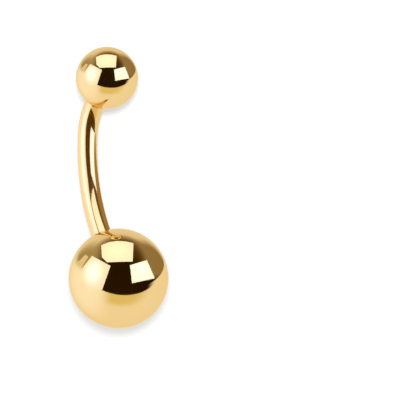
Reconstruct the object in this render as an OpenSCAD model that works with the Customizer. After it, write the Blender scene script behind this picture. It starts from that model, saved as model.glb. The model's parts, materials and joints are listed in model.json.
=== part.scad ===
// Curved barbell for a navel piercing: a bent round bar with a screw-on ball at each end.
// The bar bends gently over most of its length and more sharply near the upper ball.
// It lies on its two balls and on the side of its bend, with the bend leaning over by its own weight.
// +X runs level from the lower ball to the upper ball and +Z is up. The origin is the middle of its footprint.

/* [Balls] */
// Diameter of the lower, larger ball
lower_ball_d = 8; // [6:0.5:10]
// Diameter of the upper, smaller ball
upper_ball_d = 5; // [4:0.5:6]

/* [Bar] */
// Diameter of the bar
bar_d = 1.6; // [1.4:0.1:2]
// Length of the bar, straight across from shoulder to shoulder
bar_length = 11.1; // [9:0.1:13]
// Radius of the gentle bend at the lower shoulder, to the middle of the bar
lower_bend_radius = 15; // [10:0.5:20]
// Radius of the sharper bend at the upper shoulder, to the middle of the bar
upper_bend_radius = 4.5; // [3:0.5:8]
// Angle that the sharper bend turns through, in degrees
upper_bend_turn = 35; // [10:1:45]
// Bevel that breaks the edge of each shoulder
shoulder_bevel = 0.05; // [0.02:0.01:0.08]

/* [Posts and bores] */
// Diameter of the post that each ball screws onto
post_d = 1.2; // [0.9:0.05:1.2]
// Length of each post beyond its shoulder
post_length = 2.4; // [1.5:0.1:2.8]
// Bevel at the tip of each post
post_bevel = 0.15; // [0.05:0.05:0.2]
// Gap between a post and the wall of its bore, on the radius
bore_clearance = 0.05; // [0.02:0.01:0.08]
// Depth of each bore beyond the tip of its post
bore_spare = 0.3; // [0.1:0.1:0.5]
// Countersink at the mouth of each bore, on the radius
mouth_bevel = 0.08; // [0.02:0.01:0.08]
// Gap between each shoulder and the flat land of its ball
seat_gap = 0.02; // [0.01:0.01:0.05]

/* [Hidden] */
$fn = 96;

gold = "#E2B35A";
bar_r = bar_d / 2;
post_r = post_d / 2;
bore_r = post_r + bore_clearance;
bore_depth = seat_gap + post_length + bore_spare;
lower_r = lower_ball_d / 2;
upper_r = upper_ball_d / 2;

// The barbell is drawn flat. The lower bend has its centre at the origin and meets the upper bend on +X, where
// the bar runs towards +Y and both bends turn it the same way.
upper_bend_centre = [lower_bend_radius - upper_bend_radius, 0];
upper_shoulder = upper_bend_centre + upper_bend_radius * [cos(upper_bend_turn), sin(upper_bend_turn)];

// The turn of the lower bend follows from the length straight across
reach = norm(upper_shoulder);
across_turn = acos((reach ^ 2 + lower_bend_radius ^ 2 - bar_length ^ 2) / (2 * lower_bend_radius * reach));
lower_bend_turn = across_turn - atan2(upper_shoulder[1], upper_shoulder[0]);
lower_shoulder = lower_bend_radius * [cos(lower_bend_turn), -sin(lower_bend_turn)];

// Each ball's flat land is as wide as the bar, so its distance from the middle of the ball follows from both
lower_land = sqrt(lower_r ^ 2 - bar_r ^ 2);
upper_land = sqrt(upper_r ^ 2 - bar_r ^ 2);

// Middles of the balls
lower_centre = lower_shoulder - (seat_gap + lower_land) * [sin(lower_bend_turn), cos(lower_bend_turn)];
upper_centre = upper_shoulder + (seat_gap + upper_land) * [-sin(upper_bend_turn), cos(upper_bend_turn)];

// The line between the balls' middles, which tilts by their difference in size where it rests, and how far a
// point of the drawing is along and across that line as seen from the lower ball's middle
ball_line = upper_centre - lower_centre;
ball_gap = norm(ball_line);
line_angle = atan2(ball_line[1], ball_line[0]);
tilt = asin((lower_r - upper_r) / ball_gap);
function along(point) = (point - lower_centre) * ball_line / ball_gap;
function across(point) = cross(ball_line, point - lower_centre) / ball_gap;

// Radius and centre of each bend, and which of the two has its side in a direction of the drawing
lower_bend = [lower_bend_radius, [0, 0]];
upper_bend = [upper_bend_radius, upper_bend_centre];
function bend_towards(angle) = angle <= 0 ? lower_bend : upper_bend;

// How it rests. The bend leans over about the line between the balls until the side of the bar meets the
// surface too, or hangs straight if it never does. The lowest point of that side is on the surface. Squared,
// that is a quadratic for how much of the direction across the line, in the bend's plane, points straight up.
function upright_on(bend) =
    let(
        off_line = across(bend[1]),
        side_room = lower_r - bar_r - along(bend[1]) * sin(tilt),
        quad_a = bend[0] ^ 2 - off_line ^ 2,
        quad_b = -2 * off_line * side_room,
        quad_c = (bend[0] * sin(tilt)) ^ 2 - side_room ^ 2
    )
    (-quad_b + sqrt(quad_b ^ 2 - 4 * quad_a * quad_c)) / (2 * quad_a);
function downhill(upright) = line_angle - atan2(upright, sin(tilt));
upright = upright_on(bend_towards(downhill(upright_on(lower_bend))));
lean = acos(min(1, upright / cos(tilt)));

// Footprint: from one ball's far side to the other's, and across to the outer side of the leaning bend
outer_bend = bend_towards(line_angle - 90);
bend_side = sin(lean) * (outer_bend[0] - across(outer_bend[1])) + bar_r;
footprint_x = [-lower_r, ball_gap * cos(tilt) + upper_r];
footprint_y = [-max(lower_r, upper_r), max(lower_r, upper_r, bend_side)];

// Puts what is drawn flat where it rests
module at_rest() {
    translate([-(footprint_x[0] + footprint_x[1]) / 2, -(footprint_y[0] + footprint_y[1]) / 2, lower_r])
        rotate([0, tilt, 0])
            rotate([90 + lean, 0, 0])
                rotate([0, 0, -line_angle])
                    translate([-lower_centre[0], -lower_centre[1], 0])
                        children();
}

// Frame of the lower end: origin on the shoulder, +Z out of the bar along its post
module at_lower_end() {
    rotate([0, 0, -lower_bend_turn])
        translate([lower_bend_radius, 0, 0])
            rotate([90, 0, 0])
                children();
}

// Frame of the upper end: origin on the shoulder, +Z out of the bar along its post
module at_upper_end() {
    translate([upper_bend_centre[0], upper_bend_centre[1], 0])
        rotate([0, 0, upper_bend_turn])
            translate([upper_bend_radius, 0, 0])
                rotate([-90, 0, 0])
                    children();
}

// Length of round bar that starts on +X and turns towards +Y round the origin
module bent_rod(radius, turn) {
    rotate_extrude(angle = turn)
        translate([radius, 0])
            circle(r = bar_r);
}

// Both bends, without posts
module rod() {
    mirror([0, 1, 0])
        bent_rod(lower_bend_radius, lower_bend_turn);
    translate([upper_bend_centre[0], upper_bend_centre[1], 0])
        bent_rod(upper_bend_radius, upper_bend_turn);
}

// Ring that cuts the bevel of a shoulder, in the frame of that end
module shoulder_cut() {
    rotate_extrude()
        polygon([
            [bar_r + shoulder_bevel, -2 * shoulder_bevel],
            [bar_r + shoulder_bevel, shoulder_bevel],
            [bar_r - 2 * shoulder_bevel, shoulder_bevel]
        ]);
}

// Post of one end, rooted in the bar, in the frame of that end
module post() {
    root = bar_r / 2;
    translate([0, 0, -root])
        cylinder(r = post_r, h = root + post_length - post_bevel);
    translate([0, 0, post_length - post_bevel])
        cylinder(r1 = post_r, r2 = post_r - post_bevel, h = post_bevel);
}

// Ball in the frame of the bar's end that it sits on: a flat land facing the shoulder, and a blind bore
module drilled_ball(ball_r, land) {
    difference() {
        translate([0, 0, seat_gap + land])
            sphere(r = ball_r);
        translate([0, 0, seat_gap - ball_r])
            cylinder(r = ball_r, h = ball_r);
        translate([0, 0, seat_gap - bar_r])
            cylinder(r = bore_r, h = bar_r - seat_gap + bore_depth);
        translate([0, 0, seat_gap])
            cylinder(r1 = bore_r + mouth_bevel, r2 = bore_r, h = mouth_bevel);
    }
}

module bar() {
    color(gold)
        at_rest()
            union() {
                difference() {
                    rod();
                    at_lower_end()
                        shoulder_cut();
                    at_upper_end()
                        shoulder_cut();
                }
                at_lower_end()
                    post();
                at_upper_end()
                    post();
            }
}

module upper_ball() {
    color(gold)
        at_rest()
            at_upper_end()
                drilled_ball(upper_r, upper_land);
}

module lower_ball() {
    color(gold)
        at_rest()
            at_lower_end()
                drilled_ball(lower_r, lower_land);
}

bar();
upper_ball();
lower_ball();
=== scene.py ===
"""A plain curved barbell for the navel, polished and gold in colour, lying on a pale floor.

Every length is in metres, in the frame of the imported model. The balls, the ends and the bend are placed from
that model: from the boxes of its balls and from the directions in which they come off.
"""
import json
import math

import bmesh
import bpy
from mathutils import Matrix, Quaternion, Vector


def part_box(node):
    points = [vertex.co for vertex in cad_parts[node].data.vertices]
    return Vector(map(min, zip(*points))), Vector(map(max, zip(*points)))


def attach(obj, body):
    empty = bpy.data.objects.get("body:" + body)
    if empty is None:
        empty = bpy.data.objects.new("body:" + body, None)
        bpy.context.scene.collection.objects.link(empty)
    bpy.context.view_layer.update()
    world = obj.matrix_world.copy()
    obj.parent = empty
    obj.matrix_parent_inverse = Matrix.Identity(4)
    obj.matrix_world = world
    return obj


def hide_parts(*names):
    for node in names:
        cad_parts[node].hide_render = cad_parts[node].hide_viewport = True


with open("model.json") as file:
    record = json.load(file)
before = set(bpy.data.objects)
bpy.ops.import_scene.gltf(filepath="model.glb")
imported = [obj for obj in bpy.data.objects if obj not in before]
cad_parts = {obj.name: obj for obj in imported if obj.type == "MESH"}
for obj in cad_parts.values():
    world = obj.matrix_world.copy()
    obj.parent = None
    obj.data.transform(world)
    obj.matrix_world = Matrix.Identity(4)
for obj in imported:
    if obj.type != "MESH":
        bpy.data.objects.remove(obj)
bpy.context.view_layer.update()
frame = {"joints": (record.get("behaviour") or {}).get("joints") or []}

MM = 0.001
TURN = 2 * math.pi

# Sizes of the barbell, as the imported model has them
LOWER_BALL_R = 4.0 * MM
UPPER_BALL_R = 2.5 * MM
BAR_R = 0.8 * MM
LOWER_BEND_R = 15.0 * MM
UPPER_BEND_R = 4.5 * MM
UPPER_BEND_TURN = math.radians(35)
SHOULDER_BEVEL = 0.05 * MM
POST_R = 0.6 * MM
POST_LENGTH = 2.4 * MM
POST_BEVEL = 0.15 * MM
BORE_R = 0.65 * MM
BORE_SPARE = 0.3 * MM
MOUTH_BEVEL = 0.08 * MM
SEAT_GAP = 0.02 * MM

# Bevel of the edge round each ball's land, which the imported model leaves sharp
LAND_BEVEL = 0.03 * MM

# The thread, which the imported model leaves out: it is cut into the posts and into the walls of the bores
THREAD_PITCH = 0.25 * MM
THREAD_DEPTH = 0.15 * MM
THREAD_NECK = 0.25 * MM
BORE_THREAD_DEPTH = 0.06 * MM

# Power that shapes the thread's wave. Below 1 it widens the crests.
THREAD_POWER = 0.8

# Fineness of the meshes, and the angle from which an edge is shaded as sharp
SIDES = 144
LOWER_BEND_STEPS = 90
UPPER_BEND_STEPS = 70
BALL_STEPS = 110
EDGE_STEPS = 5
STEPS_PER_PITCH = 12
SHARP_ANGLE = math.radians(35)


# Shapes

def joint_axis(body):
    """The direction in which a ball comes off, which is also the direction of its post, out of the bar."""
    axis = next(j["axis"] for j in frame["joints"] if j["child"] == body)
    return Vector(axis).normalized()


def ball_centre(node):
    """The middle of a ball, from its box, of which its land takes nothing off."""
    low, high = (Vector(corner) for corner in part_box(node))
    return (low + high) / 2


def land_distance(ball_r):
    """How far the flat land of a ball, as wide as the bar, is from the ball's middle."""
    return math.sqrt(ball_r ** 2 - BAR_R ** 2)


class BarPath:
    """The middle line of the bar and of its posts, by the distance from the lower shoulder."""

    def __init__(self):
        lower_out = joint_axis("lower_ball")
        upper_out = joint_axis("upper_ball")
        lower_seat = SEAT_GAP + land_distance(LOWER_BALL_R)
        upper_seat = SEAT_GAP + land_distance(UPPER_BALL_R)
        self.lower_shoulder = ball_centre("lower_ball") - lower_out * lower_seat
        self.upper_shoulder = ball_centre("upper_ball") - upper_out * upper_seat
        self.start = -lower_out
        self.side = self.start.cross(upper_out).normalized()
        self.lower_length = LOWER_BEND_R * (self.start.angle(upper_out) - UPPER_BEND_TURN)
        self.upper_length = UPPER_BEND_R * UPPER_BEND_TURN
        self.length = self.lower_length + self.upper_length

    def turned(self, angle):
        """(forward, outward) after that much of the bends: along the bar, and away from the bend's centre."""
        inward = self.side.cross(self.start)
        forward = self.start * math.cos(angle) + inward * math.sin(angle)
        outward = self.start * math.sin(angle) - inward * math.cos(angle)
        return forward, outward

    def at(self, distance):
        """(middle, outward) there: a point on the middle line, and the way from the bend's centre to it."""
        on_lower = min(max(distance, 0.0), self.lower_length)
        on_upper = min(max(distance - self.lower_length, 0.0), self.upper_length)
        lower_angle = on_lower / LOWER_BEND_R
        upper_angle = on_upper / UPPER_BEND_R
        first = self.turned(0.0)[1]
        halfway = self.turned(lower_angle)[1]
        forward, outward = self.turned(lower_angle + upper_angle)
        middle = self.lower_shoulder + (halfway - first) * LOWER_BEND_R
        middle += (outward - halfway) * UPPER_BEND_R
        return middle + forward * (distance - on_lower - on_upper), outward


def circle(middle, first, second, radius):
    """A ring of points round middle, where radius is a length or a function of the angle."""
    points = []
    for k in range(SIDES):
        angle = TURN * k / SIDES
        r = radius(angle) if callable(radius) else radius
        points.append(middle + (first * math.cos(angle) + second * math.sin(angle)) * r)
    return points


def skin(name, rings, first_tip, last_tip):
    """A closed mesh over a row of rings, with a fan to a tip at each end."""
    points = [first_tip] + [point for ring in rings for point in ring] + [last_tip]
    last = len(points) - 1
    faces = []
    for k in range(SIDES):
        after = (k + 1) % SIDES
        faces.append((0, 1 + after, 1 + k))
        for row in range(len(rings) - 1):
            here = 1 + row * SIDES
            there = here + SIDES
            faces.append((here + k, here + after, there + after, there + k))
        here = 1 + (len(rings) - 1) * SIDES
        faces.append((here + k, here + after, last))
    mesh = bpy.data.meshes.new(name)
    mesh.from_pydata(points, [], faces)
    mesh.polygons.foreach_set("use_smooth", [True] * len(faces))
    mesh.set_sharp_from_angle(angle=SHARP_ANGLE)
    piece = bpy.data.objects.new(name, mesh)
    bpy.context.scene.collection.objects.link(piece)
    return piece


def spread(first, last, steps):
    """Evenly spaced values from first to last, both included."""
    return [first + (last - first) * k / steps for k in range(steps + 1)]


def thread_wave(distance, angle):
    """0 in the root of the thread and 1 on its crest, for a right-hand thread that is a little rounded."""
    wave = 0.5 + 0.5 * math.cos(TURN * distance / THREAD_PITCH - angle)
    return wave ** THREAD_POWER


def post_profile():
    """(height, radius) of a post from its shoulder to its tip. The radius is a function of the angle."""
    def radius_at(height):
        fade_in = min(max((height - THREAD_NECK) / THREAD_PITCH, 0.0), 1.0)
        limit = POST_R - max(0.0, height - (POST_LENGTH - POST_BEVEL))

        def radius(angle):
            root = POST_R - THREAD_DEPTH
            return min(root + THREAD_DEPTH * fade_in * thread_wave(height, angle), limit)

        return radius

    steps = round(POST_LENGTH / THREAD_PITCH * STEPS_PER_PITCH)
    return [(height, radius_at(height)) for height in spread(0.0, POST_LENGTH, steps)]


def shoulder_profile():
    """(height, radius) round a shoulder's edge, from the post to the side of the bar. Heights go inwards."""
    rounding = [math.radians(a) for a in spread(0.0, 90.0, EDGE_STEPS)]
    edge = [
        (SHOULDER_BEVEL * (1 - math.cos(a)), BAR_R - SHOULDER_BEVEL * (1 - math.sin(a)))
        for a in rounding
    ]
    face = [(0.0, POST_R), (0.0, BAR_R - 2 * SHOULDER_BEVEL)]
    return face + edge + [(2 * SHOULDER_BEVEL, BAR_R)]


def make_bar(path):
    """The bent rod with its rounded shoulders and its threaded posts, as one skin along the path."""
    shoulder = shoulder_profile()
    margin = 4 * SHOULDER_BEVEL
    body = spread(margin, path.lower_length, LOWER_BEND_STEPS)
    body += spread(path.lower_length, path.length - margin, UPPER_BEND_STEPS)[1:]
    stations = [(-height, radius) for height, radius in reversed(post_profile())]
    stations += shoulder
    stations += [(distance, BAR_R) for distance in body]
    stations += [(path.length - height, radius) for height, radius in reversed(shoulder)]
    stations += [(path.length + height, radius) for height, radius in post_profile()]
    rings = []
    for distance, radius in stations:
        middle, outward = path.at(distance)
        rings.append(circle(middle, outward, path.side, radius))
    first_tip = path.at(-POST_LENGTH)[0]
    last_tip = path.at(path.length + POST_LENGTH)[0]
    return skin("barbell_bar", rings, first_tip, last_tip)


def ball_profile(ball_r):
    """(height, radius) of a drilled ball, from its bore's end to its pole. Heights are from the shoulder."""
    def groove_at(height):
        def radius(angle):
            return BORE_R + BORE_THREAD_DEPTH * thread_wave(height, angle)

        return radius

    bore_end = SEAT_GAP + POST_LENGTH + BORE_SPARE
    bore_steps = round((bore_end - SEAT_GAP - MOUTH_BEVEL) / THREAD_PITCH * STEPS_PER_PITCH)
    bore = spread(bore_end, SEAT_GAP + MOUTH_BEVEL, bore_steps)
    profile = [(height, groove_at(height)) for height in bore]
    profile.append((SEAT_GAP, BORE_R + MOUTH_BEVEL))
    middle = SEAT_GAP + land_distance(ball_r)
    profile.append((SEAT_GAP, BAR_R - LAND_BEVEL))
    first = math.asin((BAR_R + LAND_BEVEL) / ball_r)
    for angle in spread(first, math.pi, BALL_STEPS)[:-1]:
        profile.append((middle - ball_r * math.cos(angle), ball_r * math.sin(angle)))
    return profile


def make_ball(name, node, shoulder, side, ball_r):
    """A ball with its land, countersink and threaded bore, as one skin round the axis of its post."""
    out = joint_axis(node)
    across = side.cross(out)
    profile = ball_profile(ball_r)
    rings = [circle(shoulder + out * height, across, side, radius) for height, radius in profile]
    bore_end = shoulder + out * (SEAT_GAP + POST_LENGTH + BORE_SPARE)
    pole = shoulder + out * (SEAT_GAP + land_distance(ball_r) + ball_r)
    return skin(name, rings, bore_end, pole)


def face_outwards(piece):
    """Turns every face of a closed piece outwards."""
    work = bmesh.new()
    work.from_mesh(piece.data)
    bmesh.ops.recalc_face_normals(work, faces=work.faces)
    work.to_mesh(piece.data)
    work.free()


path = BarPath()
bar = make_bar(path)
lower_ball = make_ball("barbell_lower_ball", "lower_ball", path.lower_shoulder, path.side, LOWER_BALL_R)
upper_ball = make_ball("barbell_upper_ball", "upper_ball", path.upper_shoulder, path.side, UPPER_BALL_R)
for piece, node in ((bar, "bar"), (lower_ball, "lower_ball"), (upper_ball, "upper_ball")):
    face_outwards(piece)
    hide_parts(node)
    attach(piece, node)


# Nodes

def add_node(tree, kind, inputs=None, **settings):
    """A node with its settings and its inputs. An input is a value or another node's output."""
    node = tree.nodes.new(kind)
    for name, value in settings.items():
        setattr(node, name, value)
    for key, value in (inputs or {}).items():
        if isinstance(value, bpy.types.NodeSocket):
            tree.links.new(value, node.inputs[key])
        else:
            node.inputs[key].default_value = value
    return node


def rgba(colour):
    """The colour as a node's socket takes it, with an alpha of 1."""
    return (*colour, 1.0)


def rise(tree, value, start, end):
    """0 up to start and 1 from end on, with a smooth step between them."""
    inputs = {"Value": value, "From Min": start, "From Max": end}
    return add_node(tree, "ShaderNodeMapRange", inputs, interpolation_type="SMOOTHSTEP").outputs["Result"]


def times(tree, first, second):
    """The product of two numbers."""
    return add_node(tree, "ShaderNodeMath", {0: first, 1: second}, operation="MULTIPLY").outputs[0]


def blend(tree, share, first, second):
    """The first colour at a share of 0 and the second at 1."""
    inputs = {"Fac": share, "Color1": first, "Color2": second}
    return add_node(tree, "ShaderNodeMixRGB", inputs).outputs["Color"]


def between(tree, share, first, second):
    """The first number at a share of 0 and the second at 1."""
    inputs = {"Factor": share, "A": first, "B": second}
    return add_node(tree, "ShaderNodeMix", inputs, data_type="FLOAT").outputs["Result"]


# Gold

GOLD_DEEP = (0.88, 0.635, 0.275)
GOLD_PALE = (0.90, 0.665, 0.305)
GOLD_EDGE = (0.93, 0.84, 0.66)
CLOUD_SCALE = 450.0
CLOUD_DETAIL = 3.0
WEAR_SCALE = 700.0
WEAR_DETAIL = 4.0
WEAR_STEP = (0.35, 0.75)
HAIRLINE_STRETCH = (1200.0, 9000.0, 9000.0)
HAIRLINE_DETAIL = 2.0
HAIRLINE_DEPTH = 0.0006 * MM
HAZE_COLOUR = (1.0, 0.37, 0.03)
HAZE_ROUGHNESS = 0.6
HAZE_SHARE = 0.12


def make_gold(name, bright_roughness, dull_roughness, hazy=False):
    """Polished plating: faint clouds in its colour, a few duller patches, and hairlines left by the buffing.

    Hazy plating has a little of a wide, reddish gloss in it, which lifts its darkest reflections to brown.
    """
    material = bpy.data.materials.new(name)
    material.use_nodes = True
    tree = material.node_tree
    shader = tree.nodes["Principled BSDF"]
    shader.inputs["Metallic"].default_value = 1.0
    shader.inputs["Specular Tint"].default_value = rgba(GOLD_EDGE)
    place = add_node(tree, "ShaderNodeTexCoord").outputs["Object"]
    clouds_inputs = {"Vector": place, "Scale": CLOUD_SCALE, "Detail": CLOUD_DETAIL}
    clouds = add_node(tree, "ShaderNodeTexNoise", clouds_inputs)
    colour = blend(tree, clouds.outputs["Fac"], rgba(GOLD_DEEP), rgba(GOLD_PALE))
    tree.links.new(colour, shader.inputs["Base Color"])

    wear = add_node(tree, "ShaderNodeTexNoise", {"Vector": place, "Scale": WEAR_SCALE, "Detail": WEAR_DETAIL})
    dull = rise(tree, wear.outputs["Fac"], *WEAR_STEP)
    tree.links.new(between(tree, dull, bright_roughness, dull_roughness), shader.inputs["Roughness"])

    stretched = add_node(tree, "ShaderNodeMapping", {"Vector": place, "Scale": HAIRLINE_STRETCH})
    hairline_inputs = {"Vector": stretched.outputs["Vector"], "Scale": 1.0, "Detail": HAIRLINE_DETAIL}
    hairlines = add_node(tree, "ShaderNodeTexNoise", hairline_inputs)
    bump = add_node(tree, "ShaderNodeBump", {"Height": hairlines.outputs["Fac"], "Distance": HAIRLINE_DEPTH})
    tree.links.new(bump.outputs["Normal"], shader.inputs["Normal"])
    if hazy:
        wide_inputs = {"Base Color": rgba(HAZE_COLOUR), "Metallic": 1.0, "Roughness": HAZE_ROUGHNESS}
        wide = add_node(tree, "ShaderNodeBsdfPrincipled", wide_inputs)
        both_inputs = {0: HAZE_SHARE, 1: shader.outputs["BSDF"], 2: wide.outputs["BSDF"]}
        both = add_node(tree, "ShaderNodeMixShader", both_inputs)
        tree.links.new(both.outputs["Shader"], tree.nodes["Material Output"].inputs["Surface"])
    return material


# The bent bar is a little less glossy than the balls, which are turned and buffed
ball_gold = make_gold("polished_gold_balls", bright_roughness=0.03, dull_roughness=0.075)
bar_gold = make_gold("polished_gold_bar", bright_roughness=0.06, dull_roughness=0.11, hazy=True)
bar.data.materials.append(bar_gold)
lower_ball.data.materials.append(ball_gold)
upper_ball.data.materials.append(ball_gold)

# The lower ball is left out of reflections, because the photo's small ball mirrors none
lower_ball.visible_glossy = False


# Camera

AIM = Vector((-1.210 * MM, -6.670 * MM, 0.0))
CAMERA_AZIMUTH = math.radians(-58.505)
CAMERA_ELEVATION = math.radians(83.506)
CAMERA_ROLL = math.radians(-35.406)
CAMERA_DISTANCE = 533.63 * MM
LENS_MM = 596.85
CLIP_START = 0.01
CLIP_END = 10.0


def make_camera():
    """The camera at the photo's angle to the barbell, which is well above the floor that it lies on."""
    back = Vector((
        math.sin(CAMERA_AZIMUTH) * math.cos(CAMERA_ELEVATION),
        -math.cos(CAMERA_AZIMUTH) * math.cos(CAMERA_ELEVATION),
        math.sin(CAMERA_ELEVATION),
    ))
    data = bpy.data.cameras.new("camera")
    data.lens = LENS_MM
    data.clip_start = CLIP_START
    data.clip_end = CLIP_END
    made = bpy.data.objects.new("camera", data)
    made.location = AIM + back * CAMERA_DISTANCE
    made.rotation_mode = "QUATERNION"
    made.rotation_quaternion = (-back).to_track_quat("-Z", "Y") @ Quaternion((0, 0, 1), CAMERA_ROLL)
    bpy.context.scene.collection.objects.link(made)
    bpy.context.scene.camera = made
    return made


camera = make_camera()


# Studio. Its lights are given by where a polished ball mirrors them for the photo's camera: the first number
# is to the right of the ball's middle and the second above it, as shares of its radius.

STUDIO_R = 0.6
OUTLINE_STEPS = 8
studio_middle = ball_centre("lower_ball")
studio_back = (camera.location - studio_middle).normalized()
studio_right = (camera.rotation_quaternion @ Vector((0, 1, 0))).cross(studio_back).normalized()
studio_up = studio_back.cross(studio_right)


def mirrored(across, above):
    """The direction that a ball mirrors at that place."""
    facing = math.sqrt(1 - across ** 2 - above ** 2)
    return (
        studio_right * (2 * facing * across)
        + studio_up * (2 * facing * above)
        + studio_back * (2 * facing ** 2 - 1)
    )


def studio_direction(right, up, back):
    """The direction with those shares of the studio's right, up and back. Back is towards the camera."""
    return (studio_right * right + studio_up * up + studio_back * back).normalized()


def glow(name, hot_place, hot, edge, reach):
    """Light that is hot at one point of a softbox and falls off to its edges."""
    material = bpy.data.materials.new(name)
    material.use_nodes = True
    tree = material.node_tree
    tree.nodes.clear()
    place = add_node(tree, "ShaderNodeTexCoord").outputs["Object"]
    inputs = {0: place, 1: studio_middle + mirrored(*hot_place) * STUDIO_R}
    away = add_node(tree, "ShaderNodeVectorMath", inputs, operation="DISTANCE").outputs["Value"]
    colour = blend(tree, rise(tree, away, 0.0, reach * STUDIO_R), rgba(hot), rgba(edge))
    emission = add_node(tree, "ShaderNodeEmission", {"Color": colour})
    add_node(tree, "ShaderNodeOutputMaterial", {"Surface": emission.outputs["Emission"]})
    return material


def softbox(name, corners, hot_place, hot, edge, reach):
    """A lit panel with the mirrored outline, seen only in reflections."""
    outline = []
    for k, corner in enumerate(corners):
        after = corners[(k + 1) % len(corners)]
        for step in range(OUTLINE_STEPS):
            share = step / OUTLINE_STEPS
            across = corner[0] + (after[0] - corner[0]) * share
            above = corner[1] + (after[1] - corner[1]) * share
            outline.append(studio_middle + mirrored(across, above) * STUDIO_R)
    hub = sum(outline, Vector()) / len(outline)
    mesh = bpy.data.meshes.new(name)
    count = len(outline)
    mesh.from_pydata([hub] + outline, [], [(0, 1 + k, 1 + (k + 1) % count) for k in range(count)])
    mesh.materials.append(glow(name, hot_place, hot, edge, reach))
    panel = bpy.data.objects.new(name, mesh)
    bpy.context.scene.collection.objects.link(panel)
    panel.visible_camera = False
    panel.visible_diffuse = False
    panel.visible_shadow = False


softbox(
    "softbox_top",
    corners=[(-0.345, 0.66), (-0.20, 0.72), (-0.03, 0.745), (0.15, 0.735), (0.295, 0.70), (0.28, 0.334),
             (0.02, 0.33), (-0.23, 0.32), (-0.33, 0.42)],
    hot_place=(-0.03, 0.55), hot=(1.2, 1.6, 2.1), edge=(1.2, 1.36, 1.75), reach=0.6,
)
softbox(
    "softbox_left",
    corners=[(-0.526, 0.45), (-0.16, 0.248), (-0.324, -0.22), (-0.60, -0.25), (-0.76, 0.02), (-0.68, 0.26)],
    hot_place=(-0.50, 0.12), hot=(1.3, 2.0, 3.4), edge=(1.14, 1.22, 1.60), reach=0.58,
)
softbox(
    "softbox_far_left",
    corners=[(-0.66, 0.475), (-0.60, 0.43), (-0.735, 0.22), (-0.84, 0.29)],
    hot_place=(-0.70, 0.38), hot=(0.86, 0.83, 0.76), edge=(0.80, 0.76, 0.66), reach=0.6,
)
softbox(
    "softbox_right",
    corners=[(0.223, 0.262), (0.562, 0.363), (0.72, 0.003), (0.267, -0.095)],
    hot_place=(0.45, 0.19), hot=(1.25, 1.7, 3.0), edge=(1.15, 1.5, 2.2), reach=0.6,
)


# What the gold mirrors behind the softboxes: a table low down and walls above it
TABLE_NORMAL = (0.131, 0.779, 0.613)
FAR_EDGE_NORMAL = (-0.185, 0.906, 0.381)
WALL_FOOT = -0.3
WALL_TOP = 0.9
BACK_WALL = [
    (WALL_FOOT, (0.94, 0.94, 0.94)),
    (0.0, (0.92, 0.91, 0.90)),
    (0.2, (0.88, 0.84, 0.80)),
    (0.33, (0.87, 0.79, 0.73)),
    (0.44, (0.58, 0.50, 0.40)),
    (0.54, (0.35, 0.28, 0.18)),
    (0.65, (0.18, 0.12, 0.05)),
    (0.85, (0.10, 0.056, 0.014)),
]
RIGHT_WALL = (0.32, 0.245, 0.14)
LEFT_WALL = (0.42, 0.36, 0.22)
DARK = (0.020, 0.009, 0.001)
TABLE = (0.99, 0.97, 0.95)
TABLE_FRONT = (0.84, 0.74, 0.38)
TABLE_LEFT = (1.12, 1.17, 1.40)
OPEN_LIGHT = (1.0, 1.0, 1.0)

# Where one of these gives way to the next: how far a direction goes to the right, up, back or above the table
# where the step starts, and where it ends
RIGHT_WALL_ACROSS = (0.30, 0.62)
RIGHT_WALL_HEIGHT = (0.80, 0.50)
LEFT_WALL_ACROSS = (-0.35, -0.75)
LEFT_WALL_UP = (0.2, 0.38)
DARK_BACK = (0.0, 0.8)
DARK_UP = (0.12, -0.05)
FRONT_EDGE_HEIGHT = (0.014, -0.010)
LEFT_EDGE_UP = (0.40, 0.12)
RIGHT_EDGE_HEIGHT = (-0.235, -0.26)
SIDE_EDGES_ACROSS = (-0.2, 0.2)
FRONT_EDGE_BACK = (-0.1, 0.3)
TABLE_FRONT_BACK = (0.0, 0.6)
TABLE_FRONT_ACROSS = (-0.75, -0.25)
TABLE_FRONT_HEIGHT = (-0.60, -0.30)
TABLE_LEFT_ACROSS = (-0.2, -0.9)


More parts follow.
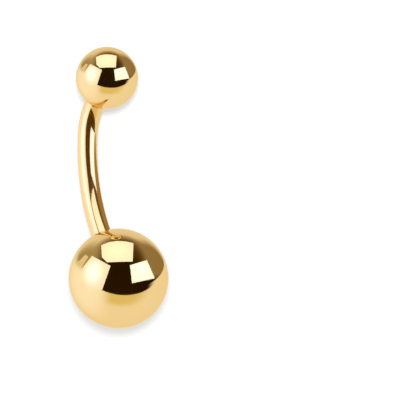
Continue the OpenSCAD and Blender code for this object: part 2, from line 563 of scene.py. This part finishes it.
def make_world():
    """Even white light, and for what is mirrored a studio that is coloured by direction."""
    world = bpy.data.worlds.new("studio")
    world.use_nodes = True
    tree = world.node_tree
    tree.nodes.clear()
    direction = add_node(tree, "ShaderNodeTexCoord").outputs["Generated"]

    def along(axis):
        """How far the direction goes along the axis, from -1 to 1."""
        inputs = {0: direction, 1: axis}
        return add_node(tree, "ShaderNodeVectorMath", inputs, operation="DOT_PRODUCT").outputs["Value"]

    right = along(studio_right)
    up = along(studio_up)
    back = along(studio_back)
    height = along(studio_direction(*TABLE_NORMAL))
    far_height = along(studio_direction(*FAR_EDGE_NORMAL))

    def step(value, ends):
        """A smooth step from 0 at the first end to 1 at the second, which may be the lower one."""
        return rise(tree, value, *ends)

    wall_inputs = {"Value": height, "From Min": WALL_FOOT, "From Max": WALL_TOP}
    shade = add_node(tree, "ShaderNodeMapRange", wall_inputs)
    wall = add_node(tree, "ShaderNodeValToRGB", {"Fac": shade.outputs["Result"]})
    set_ramp(wall.color_ramp, [((h - WALL_FOOT) / (WALL_TOP - WALL_FOOT), colour) for h, colour in BACK_WALL])
    right_share = times(tree, step(right, RIGHT_WALL_ACROSS), step(height, RIGHT_WALL_HEIGHT))
    room = blend(tree, right_share, wall.outputs["Color"], rgba(RIGHT_WALL))
    left_share = times(tree, step(right, LEFT_WALL_ACROSS), step(up, LEFT_WALL_UP))
    room = blend(tree, left_share, room, rgba(LEFT_WALL))
    room = blend(tree, step(back, DARK_BACK), room, rgba(DARK))
    room = blend(tree, step(up, DARK_UP), room, rgba(DARK))

    front_edge = step(height, FRONT_EDGE_HEIGHT)
    left_edge = step(up, LEFT_EDGE_UP)
    right_edge = step(far_height, RIGHT_EDGE_HEIGHT)
    side_edge = between(tree, step(right, SIDE_EDGES_ACROSS), left_edge, right_edge)
    table_share = between(tree, step(back, FRONT_EDGE_BACK), side_edge, front_edge)
    front = times(tree, step(back, TABLE_FRONT_BACK), step(right, TABLE_FRONT_ACROSS))
    front = times(tree, front, step(height, TABLE_FRONT_HEIGHT))
    table = blend(tree, front, rgba(TABLE), rgba(TABLE_FRONT))
    table = blend(tree, step(right, TABLE_LEFT_ACROSS), table, rgba(TABLE_LEFT))
    mirrored_studio = blend(tree, table_share, room, table)

    path_kind = add_node(tree, "ShaderNodeLightPath")
    colour = blend(tree, path_kind.outputs["Is Glossy Ray"], rgba(OPEN_LIGHT), mirrored_studio)
    background = add_node(tree, "ShaderNodeBackground", {"Color": colour})
    add_node(tree, "ShaderNodeOutputWorld", {"Surface": background.outputs["Background"]})
    bpy.context.scene.world = world


def set_ramp(ramp, stops):
    """Gives a colour ramp these stops, each a position from 0 to 1 and a colour, and no others."""
    while len(ramp.elements) > 1:
        ramp.elements.remove(ramp.elements[-1])
    ramp.elements[0].position = stops[0][0]
    ramp.elements[0].color = rgba(stops[0][1])
    for position, colour in stops[1:]:
        ramp.elements.new(position).color = rgba(colour)


make_world()


# Floor and key light

FLOOR_HALF = 1.5
FLOOR_GREY = (0.3, 0.3, 0.3)
FLOOR_ROUGHNESS = 0.7
FLOOR_GLOW = 0.5
KEY_STRENGTH = 3.6
KEY_ANGLE = math.radians(14)
KEY_HEIGHT = math.radians(81)


def make_floor():
    """A pale matt floor. Part of its white is a glow of its own, so the shades on it stay faint."""
    half = FLOOR_HALF
    corners = [(-half, -half, 0), (half, -half, 0), (half, half, 0), (-half, half, 0)]
    mesh = bpy.data.meshes.new("floor")
    mesh.from_pydata(corners, [], [(0, 1, 2, 3)])
    material = bpy.data.materials.new("floor")
    material.use_nodes = True
    shader = material.node_tree.nodes["Principled BSDF"]
    shader.inputs["Base Color"].default_value = rgba(FLOOR_GREY)
    shader.inputs["Roughness"].default_value = FLOOR_ROUGHNESS
    shader.inputs["Specular IOR Level"].default_value = 0.0
    shader.inputs["Emission Color"].default_value = rgba(OPEN_LIGHT)
    shader.inputs["Emission Strength"].default_value = FLOOR_GLOW
    mesh.materials.append(material)
    floor = bpy.data.objects.new("floor", mesh)
    floor.visible_glossy = False
    bpy.context.scene.collection.objects.link(floor)


def make_key_light():
    """A wide soft light above the top of the picture, which shades the floor below the lower ball."""
    data = bpy.data.lights.new("key_light", "SUN")
    data.energy = KEY_STRENGTH
    data.angle = KEY_ANGLE
    light = bpy.data.objects.new("key_light", data)
    from_light = -(studio_up * math.cos(KEY_HEIGHT) + studio_back * math.sin(KEY_HEIGHT))
    light.rotation_mode = "QUATERNION"
    light.rotation_quaternion = from_light.to_track_quat("-Z", "Y")
    light.visible_glossy = False
    bpy.context.scene.collection.objects.link(light)


make_floor()
make_key_light()
bpy.context.scene.view_settings.view_transform = "Standard"
